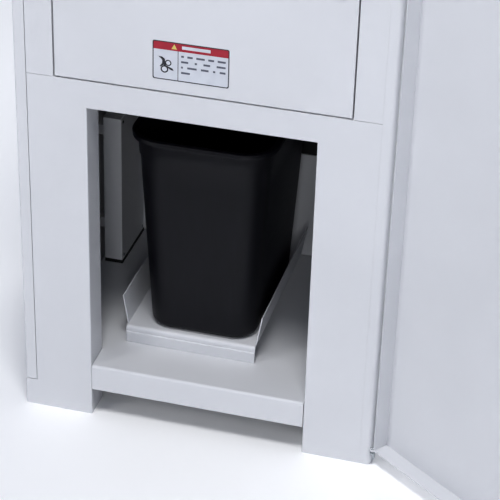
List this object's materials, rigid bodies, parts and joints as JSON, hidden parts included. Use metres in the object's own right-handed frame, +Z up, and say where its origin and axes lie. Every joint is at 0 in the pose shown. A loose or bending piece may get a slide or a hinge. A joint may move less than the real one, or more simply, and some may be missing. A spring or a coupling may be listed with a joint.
{
  "type": "floor-standing waste compactor",
  "caption": "Floor-standing waste compactor cabinet with an open bin bay and guide tray, a black bin, a service door, a twin-shaft crusher and a full-height hinged front door.",
  "frame": {"origin": "on the floor, at the middle of the underside of the rear base rail", "axes": "+Z up, +X to the right of a person facing the front, +Y towards the back"},
  "size_m": [1.1441, 0.9745, 1.25],
  "materials": {
    "powder_coat": "light grey satin powder coat",
    "bin_plastic": "black moulded polyethylene",
    "black_enamel": "black satin enamel",
    "galvanised_sheet": "galvanised sheet",
    "tool_steel": "ground tool steel",
    "ground_steel": "machined steel",
    "machine_enamel": "blue-grey machine enamel",
    "bright_chrome": "bright plated",
    "dark_plastic": "black moulded plastic",
    "red_plastic": "red moulded plastic",
    "green_plastic": "green moulded plastic",
    "label_film": "laminated label film"
  },
  "bodies": {
    "cabinet": {"front_frame": "powder_coat", "base_frame": "powder_coat", "right_corner_post": "powder_coat", "left_side_panel": "powder_coat", "right_side_panel": "powder_coat", "top_panel": "powder_coat", "rear_posts": "powder_coat", "back_panel": "powder_coat", "bay_shelf": "powder_coat", "bay_back_panel": "powder_coat", "bay_rear_screen": "black_enamel", "guide_tray": "powder_coat", "tray_supports": "powder_coat", "control_box": "powder_coat", "control_box_cover": "powder_coat", "motor_contactor": "dark_plastic", "upper_front_frame": "powder_coat", "hopper_fascia": "powder_coat", "feed_hopper": "galvanised_sheet", "mechanism_deck": "black_enamel", "discharge_chute": "black_enamel", "left_bearing_plate": "ground_steel", "right_bearing_plate": "ground_steel", "cutter_bearings": "ground_steel", "front_comb": "tool_steel", "rear_comb": "tool_steel", "gear_reducer": "machine_enamel", "drive_motor": "machine_enamel", "motor_fan_cover": "black_enamel", "lower_pivot_bracket": "galvanised_sheet", "upper_pivot_bracket": "galvanised_sheet", "power_inlet": "dark_plastic", "interlock_switch": "dark_plastic", "panel_screws": "bright_chrome"},
    "bin": {"waste_bin": "bin_plastic"},
    "service_door": {"service_door": "powder_coat", "service_door_pins": "ground_steel", "warning_label": "label_film", "lock_barrel": "bright_chrome"},
    "door_lock": {"lock_cam": "bright_chrome"},
    "front_cutter": {"front_cutter_shaft": "ground_steel", "front_cutter_discs": "tool_steel", "front_spacers": "tool_steel", "front_timing_gear": "ground_steel"},
    "rear_cutter": {"rear_cutter_shaft": "ground_steel", "rear_cutter_discs": "tool_steel", "rear_spacers": "tool_steel", "rear_timing_gear": "ground_steel"},
    "outer_door": {"outer_door": "powder_coat", "port_frame": "black_enamel", "door_handle": "bright_chrome", "control_plate": "black_enamel", "contact_blocks": "dark_plastic", "flap_brackets": "galvanised_sheet", "interlock_magnet": "dark_plastic"},
    "flap": {"feed_flap": "galvanised_sheet"},
    "start_button": {"start_button": "green_plastic"},
    "stop_button": {"stop_button": "red_plastic"},
    "emergency_stop": {"emergency_stop": "red_plastic"},
    "rocker": {"power_rocker": "dark_plastic"}
  },
  "joints": [
    {"name": "bin_slide", "type": "slide", "parent": "cabinet", "child": "bin", "axis": [0, -1, 0], "range_m": [0, 0.3]},
    {"name": "service_door_hinge", "type": "hinge", "parent": "cabinet", "child": "service_door", "pos_m": [-0.2366, -0.575, 0.6475], "axis": [0, 0, -1], "range_deg": [0, 110]},
    {"name": "lock_turn", "type": "hinge", "parent": "service_door", "child": "door_lock", "pos_m": [0.215, -0.58, 0.855], "axis": [0, -1, 0], "range_deg": [0, 90]},
    {"name": "front_cutter_spin", "type": "hinge", "parent": "cabinet", "child": "front_cutter", "pos_m": [0, -0.366, 0.757], "axis": [1, 0, 0], "continuous": true},
    {"name": "rear_cutter_spin", "type": "hinge", "parent": "cabinet", "child": "rear_cutter", "pos_m": [0, -0.27, 0.757], "axis": [1, 0, 0], "continuous": true},
    {"name": "outer_door_hinge", "type": "hinge", "parent": "cabinet", "child": "outer_door", "pos_m": [0.3115, -0.5805, 0.031], "axis": [0, 0, 1], "range_deg": [-143.3, 26.7]},
    {"name": "flap_hinge", "type": "hinge", "parent": "outer_door", "child": "flap", "pos_m": [0.56932, -0.75584, 1.131], "axis": [-0.8018, 0.5976, 0], "range_deg": [0, 60]},
    {"name": "power_rocker_tilt", "type": "hinge", "parent": "cabinet", "child": "rocker", "pos_m": [0.2, 0.015, 0.165], "axis": [-1, 0, 0], "range_deg": [0, 20]},
    {"name": "start_button_press", "type": "slide", "parent": "outer_door", "child": "start_button", "axis": [-0.5976, -0.8018, 0], "range_m": [0, 0.003], "stiffness_N_per_m": 700, "springref_m": -0.001},
    {"name": "stop_button_press", "type": "slide", "parent": "outer_door", "child": "stop_button", "axis": [-0.5976, -0.8018, 0], "range_m": [0, 0.003], "stiffness_N_per_m": 700, "springref_m": -0.001},
    {"name": "emergency_stop_press", "type": "slide", "parent": "outer_door", "child": "emergency_stop", "axis": [-0.5976, -0.8018, 0], "range_m": [0, 0.004], "stiffness_N_per_m": 700, "springref_m": -0.001}
  ],
  "couplings": [
    {"joint": "rear_cutter_spin", "follows": "front_cutter_spin", "ratio": -1}
  ]
}
